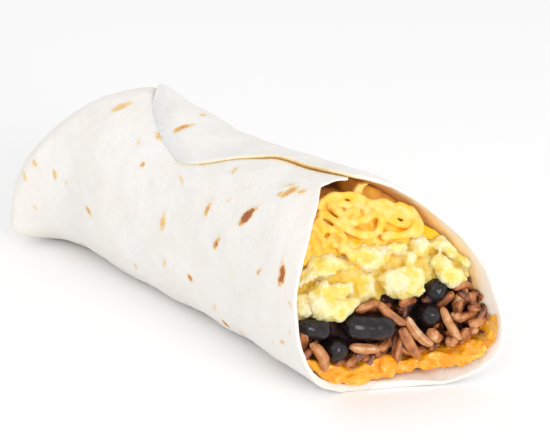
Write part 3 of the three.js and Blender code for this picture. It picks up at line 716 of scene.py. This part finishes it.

# Rice. Long brown-stained grains, soft and slightly bent, heaped every way round with dark gaps between
# them, darkened with painted shade: the mass behind is painted darkest, deeper grains and each grain's
# groove darker. The front ones lie where they show (two ends, shade, width), with more packed in behind.
GRAINS = [
    ((-5.6, 21.8), (1.7, 22.8), 0.6, 3.0), ((0.6, 23), (6.2, 16.6), 0.65, 2.9),
    ((7.1, 18), (12.8, 9.6), 0.85, 3.3), ((5, 16), (9.2, 6.8), 0.7, 3.4),
    ((12.4, 14.2), (15.8, 9.9), 0.8, 3.8), ((16.5, 19.4), (20.2, 10.2), 0.75, 3.1),
    ((20.4, 22.3), (16.6, 18.8), 0.5, 3.2), ((21.2, 23.6), (26.2, 23.2), 0.5, 3.2),
    ((22.8, 22.2), (21.4, 16.8), 0.85, 3.6), ((23.6, 18.2), (27.8, 18.2), 0.55, 3.2),
    ((22.6, 14.2), (28.4, 15.8), 0.68, 3.5), ((19, 16.8), (22.4, 14.3), 0.7, 3.2),
    ((22.1, 12.4), (25.3, 12), 0.6, 3.1), ((20.4, 13.6), (22.4, 8.8), 0.46, 3.2),
    ((16.4, 10.4), (19.2, 7.2), 0.75, 3.5), ((-9.4, 13.2), (-1.5, 11.2), 0.7, 3.3),
    ((-1.8, 11.2), (2.8, 12.2), 0.6, 3.2), ((-5.2, 8), (0.2, 8.9), 0.4, 2.8),
    ((-10.4, 8.1), (-5, 9.9), 0.6, 3.1), ((-19.4, 16.2), (-16.2, 8.2), 0.75, 3.8),
    ((-20.8, 19), (-20.8, 13.4), 0.6, 3.2), ((4.4, 10.6), (7.4, 6), 0.3, 2.9),
    ((-8, 6.3), (-3.2, 6.9), 0.25, 2.6), ((6.4, 21.4), (11.6, 22.1), 0.5, 3.0),
    ((6.4, 20.3), (9, 17.8), 0.35, 2.8), ((2.0, 13.8), (3.0, 10), 0.4, 2.8),
    ((9.6, 13.2), (12, 8), 0.35, 2.9), ((17.4, 13.2), (18.3, 9.4), 0.4, 2.8),
    ((12.6, 8.6), (16, 7.7), 0.35, 2.8), ((23.6, 21.4), (26.2, 20.2), 0.4, 2.9),
    ((24.9, 22), (24.9, 17.6), 0.48, 2.9), ((26.2, 14.6), (27, 10.8), 0.3, 2.7),
    ((-13, 9), (-9, 7.2), 0.45, 2.8), ((25.6, 10.6), (27.2, 12.9), 0.46, 2.9),
    ((14.2, 15.6), (16.6, 13.4), 0.4, 2.9), ((13.6, 9), (16, 6.2), 0.3, 2.8),
    # the grain of shade 0.12 is painted near black, as shadow between the beans
    ((13, 21.6), (17.8, 20.2), 0.12, 3.2), ((19.6, 9.4), (22.9, 10.3), 0.4, 2.8),
    ((27.6, 21), (28.4, 17.6), 0.4, 2.8), ((28, 14.4), (28.8, 17.2), 0.5, 2.8),
    ((26.6, 21.6), (27.8, 23.6), 0.3, 2.8),
]
grain_draw = random.Random(8)
GRAIN_LENGTH = 7.8  # the least, so a grain that looks shorter points back
grains = []
for start, end, shade, wide in GRAINS:
    set_back = 1.2 * (shade < 0.45)  # the dark ones lie deeper
    a, b = on_front(*start, 0.1 - set_back), on_front(*end, 0.3 - set_back)
    short = GRAIN_LENGTH**2 - np.sum((b - a) ** 2)
    if short > 0:
        b = b + (b - on_front(*end, 2)) / 2 * math.sqrt(short)
    y, z = np.add(start, end) / 2
    forward = np.array([1.7 * ease(12, 17, y) * ease(16, 10, z) * ease(28, 25, y), 0, 0])
    grains.append((a + forward, b + forward, shade, wide))
for depth, count in ((2.0, 34), (3.6, 40), (5.4, 40), (7.2, 34)):  # layers behind the front
    for i in range(count):
        y = -23 + 50 * (i + grain_draw.random()) / count
        z = grain_draw.uniform(float(sauce_top(140, y)) + 0.6, float(rice_top(140, y)) - 0.4)
        lean, dive = grain_draw.uniform(-1.5, 1.5), min(0.5 * depth, 2.4) * grain_draw.uniform(-1, 1)
        reach = 4.5 * math.cos(dive / 5)
        step = np.array([dive, reach * math.cos(lean), reach * math.sin(lean)])
        centre = on_front(y, z, -depth)
        clear = True
        for bean_start, bean_end, bean_wide in laid_beans:
            for share in (-1, -0.5, 0, 0.5, 1):
                along = bean_end - bean_start
                t = np.clip((centre + step * share - bean_start) @ along / (along @ along), 0.15, 0.85)
                away = np.linalg.norm(centre + step * share - bean_start - along * t)
                clear = clear and away > bean_wide / 2 + 0.9
        tint, wide = grain_draw.uniform(0.1, 0.6), grain_draw.uniform(2.7, 3.2)
        if clear:
            grains.append((centre - step, centre + step, tint, wide))
GRAIN_SIDES, GRAIN_RINGS = 28, 21
parts = [packed_block(sauce_top, rice_top, 7.5)]
# the packed mass behind the grains is painted darkest, as shade in the gaps
shade = [np.zeros(len(parts[0][0]))]
for a, b, tint, wide in grains:
    shifts = [grain_draw.uniform(-1, 1) for _ in range(GRAIN_SIDES // 2)] + [0]
    streaks = through(np.arange(len(shifts)), shifts, np.arange(GRAIN_SIDES) / 2)
    groove = 0.2 * bell(np.arange(GRAIN_SIDES), 5.5, 1.5)
    bend = grain_draw.uniform(-1.0, 1.0)
    ridges = 0.04 * streaks - groove
    parts.append(pill(a, b, wide, wide * 0.84, GRAIN_SIDES, GRAIN_RINGS, 4.6, bend, 0.1, ridges))
    # each grain's groove is painted darker, as shade in it
    shade.append(np.hstack([[tint], np.tile(tint + 0.24 * streaks - groove, GRAIN_RINGS), [tint]]))
points, faces = joined(parts)
grain = Finish("cooked_rice", Roughness=0.35, Specular_IOR_Level=0.4, Coat_Roughness=0.15,
               Subsurface_Weight=0.25, Subsurface_Scale=0.0015, Subsurface_Radius=(1.0, 0.5, 0.25))
mottle = grain.speckle(2.2, 4)
tan_stops = [(0.0, (0.06, 0.018, 0.014, 1)), (0.22, (0.24, 0.075, 0.03, 1)), (0.5, (0.50, 0.18, 0.055, 1)),
             (0.75, (0.62, 0.31, 0.13, 1)), (1.0, (0.78, 0.56, 0.37, 1))]
# painted shade: grains further behind the front are darker
shading = grain.painted("shade") * 0.8 + (mottle - 0.5) * 1.1 + 0.05 - grain.painted("depth") * 0.2
colour = grain.node("ValToRGB", {"stops": tan_stops}, {"Fac": shading})
grain.wear(Base_Color=colour, Roughness=0.2 + mottle * 0.26, Coat_Weight=mottle * 0.4,
           Normal=grain.relief(grain.speckle(0.9, 4), 0.3))
points = kept_inside(points)
piece("rice_heap", points, faces, grain, "rice", ["rice"], shade=np.hstack(shade),
      depth=ease(-1.5, 4.5, behind_front(points)))

# Scrambled egg. Soft pale yellow curds with crumbly faces, laid loosely over the rice so that some hang
# down in front of it; their creases and the gaps between them are painted deeper yellow as shade. Each by
# how far it stands out and its outline on the front.
CURDS = [
    (1.7, [(-18.8, 30), (-16.5, 32.3), (-14.5, 32.8), (-12, 35.2), (-9, 35.2), (-5.5, 34.2), (-1.7, 31.7),
     (-3.5, 30.8), (-6, 31), (-8, 30), (-11, 31.2), (-16.5, 29.6)]),
    (1.8, [(-16.8, 28.4), (-13, 29.8), (-9.8, 28.9), (-8.7, 25), (-10, 20.5), (-12, 20), (-15.3, 22),
     (-17.4, 25)]),
    (1.4, [(-9.2, 28.8), (-6.2, 29.4), (-4.2, 28.2), (-4.3, 26.2), (-7, 25.2), (-9, 26)]),
    (1.9, [(-11, 25), (-7, 25), (-4.3, 23.8), (-6.5, 22), (-10, 19.8), (-12.3, 21)]),
    (0.6, [(-20.5, 27.4), (-18, 28.6), (-16.8, 27), (-17.4, 23.4), (-20, 23.6)]),
    (0.9, [(-1.6, 34.2), (-0.8, 35.8), (3, 36.3), (7, 35.6), (9, 34), (8.4, 31.6), (4, 30.4), (0.5, 31),
     (-1.3, 32.4)]),
    (0.7, [(8.6, 35.4), (11, 36), (13.5, 35.4), (13.6, 33.8), (11, 32.9), (9.2, 33.4)]),
    (2.1, [(3.4, 28.8), (6.5, 30.1), (10.4, 30.4), (14.2, 30), (14.8, 26), (13.5, 23.5), (10, 22.6),
     (6, 23), (3.4, 25)]),
    (1.2, [(10.8, 30.8), (12, 32.6), (13, 33.2), (15.4, 32.6), (14.8, 30.6), (12.8, 29.4)]),
    (2.2, [(21, 32.4), (18.8, 31.4), (17.6, 29.8), (18.2, 27), (20, 24.2), (21.6, 24.2), (24.8, 24.8),
     (24.3, 27), (22.2, 29)]),
    (0.9, [(20.2, 34.8), (23, 35.8), (24.8, 34), (26, 32.4), (24.5, 30.8), (22.8, 30.4), (21.8, 32),
     (19.8, 33.2)]),
    (0.7, [(25.2, 32), (28.2, 30.8), (28, 28.2), (25.8, 27.6), (24, 29.2), (24.4, 30.8)]),
    (-1.0, [(-3.6, 27), (-2.6, 30), (2.6, 30.2), (3, 26), (2.6, 23.4), (-3.2, 23.4)]),
    (1.0, [(14.6, 35), (16.4, 36.2), (19, 35.8), (20.2, 34.2), (18.8, 32.4), (16.2, 31.4), (14.6, 32.6)]),
    (-1.6, [(-20, 33), (-16, 35.4), (-8, 36.4), (-3, 36), (-4, 33), (-12, 31)]),
    (-2.6, [(13.5, 34), (17, 36), (20.5, 35.5), (20, 31), (18, 28.5), (14, 29)]),
]


# rings of a curd from its middle out and round to its back: share of its outline, and front or back
CURD_RINGS = [(0.3, 1), (0.55, 1), (0.75, 1), (0.9, 1), (0.98, 1), (1.0, 1),
              (0.94, -1), (0.7, -1), (0.35, -1)]


def curd(out, outline):
    """A pillow of egg as thick as it is narrow, with this outline on the front."""
    corners = np.array(outline + outline[:2], float)
    knots = np.arange(len(corners))
    at = np.linspace(0, len(outline), 49)[:-1]
    edge = np.stack([through(knots, corners[:, axis], at) for axis in (0, 1)], -1)
    middle = edge.mean(axis=0)
    thick = min(3.0, 0.5 * np.linalg.norm(edge - middle, axis=1).min() + 1.4)
    points = [on_front(*middle, out)]
    for share, side in CURD_RINGS:
        rise = out - thick + side * thick * math.sqrt(1 - share**2.6)
        points += [on_front(*(middle + (corner - middle) * share), rise) for corner in edge]
    points.append(on_front(*middle, out - 2 * thick))
    return np.array(points), capped_faces(len(CURD_RINGS), len(at))


parts = [packed_block(rice_top, egg_top, 2.8, start=106, right=28)]
parts += [curd(out, outline) for out, outline in CURDS]
points, faces, normals = fused("egg", parts, 0.34, 2)
folds = rough(points, 4.2, 2)
knobs = np.abs(rough(points + 40, 1.7, 3))
crumbly = ease(-0.2, 0.3, rough(points + 90, 7, 1))
near = ease(9, 3, behind_front(points))
points = points + normals * ((folds * 1.1 + knobs * (0.25 + 0.5 * crumbly) - 0.12) * near)[:, None]
# the low places between the folds and knobs, to be painted as shade
crease = ease(0.12, -0.3, folds * 0.7 + knobs * 0.6 - 0.12)
core = packed_block(rice_top, egg_top, 16)
crease = np.hstack([crease, np.zeros(len(core[0]))])
points, faces = with_core(points, faces, core)
egg = Finish("scrambled_egg", Roughness=0.4, Specular_IOR_Level=0.35, Coat_Roughness=0.2,
             Subsurface_Weight=0.6, Subsurface_Scale=0.004, Subsurface_Radius=(1.0, 0.85, 0.35))
creamy = egg.speckle(6, 4)
grainy = egg.speckle(1.0, 4, 0.65)
colour = egg.mix(egg.step(creamy, 0.38, 0.66), (1.0, 0.82, 0.35, 1), (1.0, 0.85, 0.56, 1))
colour = egg.mix(egg.step(grainy, 0.52, 0.7) * 0.6, colour, (1.0, 0.905, 0.74, 1))
# painted shade: deeper yellow in the creases and further behind the front
colour = egg.mix(egg.painted("crease") * 0.75, colour, (1.0, 0.72, 0.06, 1))
colour = egg.mix(egg.painted("depth") * 0.85, colour, (1.0, 0.66, 0.05, 1))
egg.wear(Base_Color=colour, Roughness=0.36 + grainy * 0.2, Coat_Weight=creamy * 0.2,
         Normal=egg.relief(grainy + egg.speckle(0.5, 3) * 0.3, 0.5))
piece("egg_curds", points, faces, egg, "egg", ["scrambled_egg"], crease=crease,
      depth=ease(0.2, 4.2, behind_front(points)))

# Shredded cheese. Soft, half-melted strips about 2 mm wide, looped over each other at the top of the
# opening on a bed of melted ones, with deep gold painted in the gaps as shade and dark brown painted
# further in as shadow. The front ones by the points on their way.
SHREDS = [
    [(-4, 44.4), (-3.2, 45.5), (-1.3, 46.3), (1.4, 46.7), (5, 46.3), (7.8, 45.4), (9.3, 44.4), (11, 43.9),
     (13, 44), (15, 43), (16.6, 42.2), (17.8, 41), (18, 39.6), (17.2, 38), (15.8, 37), (13, 36.8), (10, 37),
     (8, 36.6)],
    [(15.6, 43.4), (18, 42.2), (19.2, 40.6), (19, 38.4), (17.8, 36.8), (16, 36)],
    [(-3.6, 45.4), (-1, 46.3), (0.9, 46.1), (2.2, 45.1), (4.7, 44.5), (7, 44.1), (7.6, 42.9), (6.4, 41.8)],
    [(-5, 43.5), (-3.2, 43.2), (-2.1, 41.9), (-0.5, 40.6), (0.9, 39.3), (2.9, 38.2), (5.3, 37.6),
     (7.5, 38.1), (9.3, 39.4), (10.2, 40.8), (9.5, 41.7), (8, 41.5), (5.7, 40.9), (3.1, 40.7), (1.3, 41.3),
     (0, 42.3)],
    [(-1.2, 45.2), (-0.2, 44.6), (0.3, 43.4), (1.3, 42.5), (3.1, 43.1), (4.6, 42.9), (4.3, 41.7),
     (2.6, 41.3)],
    [(8.6, 43.4), (10.4, 42.2), (12, 40.8), (14.4, 39.2), (17.2, 38.9)],
    [(8.4, 45), (10.4, 43), (13, 42.2), (15.6, 41), (17.4, 40.2)],
    [(5.2, 45.2), (6.8, 46.2), (8.2, 47.2), (9.6, 48.1), (11.6, 49.0), (13, 49.6)],
    [(-8.2, 41.5), (-7.1, 40.4), (-6.9, 38.6), (-7.3, 36.4)],
    [(-4.9, 40.6), (-2.8, 39.5), (-1.7, 38), (-2.8, 36.1), (-4.1, 35)],
    [(-5.8, 38.2), (-4.4, 37.4), (-5, 36.2)],
    [(-10.4, 39.6), (-9.6, 37.6), (-10.2, 35.8)],
    [(-2.2, 36.6), (-2.0, 34.6), (-1.3, 32.8)],
    [(-6.2, 42.6), (-5.4, 40.8), (-5.6, 39.4)],
]


def cheese_top(x, y):
    stations = [-28, -12, -7, -3.5, 0, 5, 9, 13, 18, 22, 26]
    return through(stations, [38, 42.5, 44.2, 44.8, 45, 45, 44.2, 43, 40.6, 37.4, 34.5], y)


def strip(path, wide, thick, steps, sides=10):
    """A bent strip with rounded edges along a path of points."""
    path = np.asarray(path, float)
    knots = np.hstack([[0], np.cumsum(np.linalg.norm(np.diff(path, axis=0), axis=1))])
    at = np.linspace(0, knots[-1], steps)
    line = np.stack([through(knots, path[:, axis], at) for axis in range(3)], -1)
    ahead = unit(np.gradient(line, axis=0))
    across = unit(np.cross([1.0, 0, 0.3], ahead))
    up = np.cross(ahead, across)
    turn = (np.arange(sides) + 0.5) / sides * 2 * math.pi
    from_end = np.minimum(np.arange(steps), np.arange(steps)[::-1])
    taper = 0.35 + 0.65 * np.sqrt(np.minimum(1, from_end / 3))
    wide = wide * taper * (1 + 0.14 * np.sin(at * 0.9 + path[0, 1]))
    thick = thick / 2 * taper
    spokes = flattened(np.cos(turn), 0.75)[None, :, None] * across[:, None] * wide[:, None, None] / 2
    spokes = spokes + flattened(np.sin(turn), 0.75)[None, :, None] * up[:, None] * thick[:, None, None]
    points = (line[:, None] + spokes).reshape(-1, 3)
    points = np.vstack([line[0] - ahead[0] * 0.3, points, line[-1] + ahead[-1] * 0.3])
    return points, capped_faces(steps, sides)


shred_draw = random.Random(5)
parts = [packed_block(egg_top, cheese_top, 3.0, start=104, right=25, left=-22)]
for number in range(150):  # the bed of melted strips
    y, z, heading = shred_draw.uniform(-20, 17), shred_draw.uniform(35, 45), shred_draw.uniform(0, 6.28)
    line = []
    for i in range(8):
        z = max(min(z, float(cheese_top(0, y))), float(egg_top(140, y)) + 1)
        out = -2.6 + 0.7 * (number > 110) + 1.2 * ease(-7, -11, y) + 0.5 * math.sin(i * 1.7 + y)
        line.append(on_front(y, z, out))
        heading += shred_draw.uniform(-0.8, 0.8)
        y, z = min(y + 2.8 * math.cos(heading), 19), z + 2.2 * math.sin(heading)
    parts.append(strip(line, 2.1, 1.7, 40))
for number in range(54):  # deeper ones that close the gap over it
    y, z = shred_draw.uniform(-19, 17), shred_draw.uniform(42, 47)
    line = []
    for i in range(7):
        out = -8 - 1.2 * math.cos(1.3 * i + number)
        line.append(on_front(y + 2 * i, z + 1.5 * math.sin(i + number), out))
    parts.append(strip(line, 2.1, 1.7, 40))
for number, path in enumerate(SHREDS):
    line = []
    for i, (y, z) in enumerate(path):
        line.append(on_front(y, z, 0.4 - 0.35 * (number % 3) + 0.4 * math.sin(2 * i + number)))
    parts.append(strip(line, 2.2, 1.9, 10 * len(path), 12))
points, faces, normals = fused("melted_cheese", parts, 0.28, 1)
points = points + normals * (rough(points, 3.0, 2) * 0.2)[:, None]


def hidden_cheese_top(x, y):
    """How high the cheese behind the strips lies."""
    return 46 + (6 - 13 * ease(14, 8, y)) * ease(100, 110, x)


behind, behind_faces = packed_block(egg_top, hidden_cheese_top, 7, start=60)
behind = behind + rough(behind, 3.5, 2)[:, None] * [2.4, 0, 0.6]
points, faces = with_core(points, faces, (behind, behind_faces))
cheese = Finish("shredded_cheese", Roughness=0.3, Specular_IOR_Level=0.25, Coat_Roughness=0.15,
                Subsurface_Weight=0.35, Subsurface_Scale=0.002, Subsurface_Radius=(1.0, 0.6, 0.12))
melt = cheese.speckle(3.2, 4)
colour = cheese.mix(cheese.step(melt, 0.35, 0.7), (1.0, 0.585, 0.055, 1), (1.0, 0.69, 0.24, 1))
# painted shade by how far behind the front: deep gold in the gaps, golden brown further in, and dark brown
# deepest, as shadow in the cavity
deep_in = cheese.painted("depth")
colour = cheese.mix(cheese.step(deep_in, 0.0, 0.3), colour, (1.0, 0.60, 0.01, 1))
colour = cheese.mix(cheese.step(deep_in, 0.35, 0.9), colour, (1.0, 0.49, 0.11, 1))
colour = cheese.mix(cheese.step(deep_in, 1.2, 2.0), colour, (0.40, 0.15, 0.04, 1))
cheese.wear(Base_Color=colour, Roughness=0.24 + melt * 0.2, Coat_Weight=melt * 0.2,
            Normal=cheese.relief(cheese.speckle(1.8, 3), 0.2))
depth = np.clip(behind_front(points) / 8, 0, 2)
piece("cheese_shreds", points, faces, cheese, "cheese", ["shredded_cheese"], depth=depth)

# Table. A plain white surface that the burrito lies on, so wide that its edges are out of sight. It has
# only the faintest clouds of grey.
bpy.ops.mesh.primitive_plane_add(size=6)
table = bpy.context.object
table.name = "table"
pale = Finish("pale_table", Roughness=0.9, Specular_IOR_Level=0.1)
pale.wear(Base_Color=pale.mix(pale.speckle(300, 2), (0.97, 0.97, 0.97, 1), (0.99, 0.99, 0.99, 1)))
table.data.materials.append(pale.material)

# Light. A white studio, bright all round, with a broad soft lamp to the left above and a smaller,
# stronger one in front of the open end. Colours are shown as they are, with no film look.
world = bpy.data.worlds.new("studio")
bpy.context.scene.world = world
world.use_nodes = True
glow = world.node_tree.nodes["Background"].inputs
glow["Color"].default_value = (1, 1, 1, 1)
glow["Strength"].default_value = 0.88
lamps = (("lamp_left", (0.15, -0.55, 0.70), 0.5, 0.5), ("lamp_front", (0.75, -0.16, 0.32), 0.38, 2.4))
for name, place, size, power in lamps:
    lamp = bpy.data.lights.new(name, "AREA")
    lamp.size = size
    lamp.energy = power
    holder = placed(name, lamp)
    holder.location = place
    holder.rotation_euler = (Vector((0.02, 0, 0.02)) - Vector(place)).to_track_quat("-Z", "Y").to_euler()
bpy.context.scene.view_settings.view_transform = "Standard"

# Camera. It stands in front of the open end, to its left and a little above, about half a metre off, with a
# long lens.
camera = placed("camera", bpy.data.cameras.new("camera"))
bpy.context.scene.camera = camera
azimuth, elevation = math.radians(50), math.radians(24)
looked_at, distance = Vector((-0.00017, -0.00193, 0.025)), 0.545
level = math.cos(elevation)
toward = Vector((math.sin(azimuth) * level, -math.cos(azimuth) * level, math.sin(elevation)))
camera.location = looked_at + toward * distance
camera.rotation_mode = "QUATERNION"
aim = Euler((math.radians(0.16), math.radians(-1.3), 0)).to_quaternion()
camera.rotation_quaternion = (-toward).to_track_quat("-Z", "Y") @ aim
camera.data.lens = 126.6
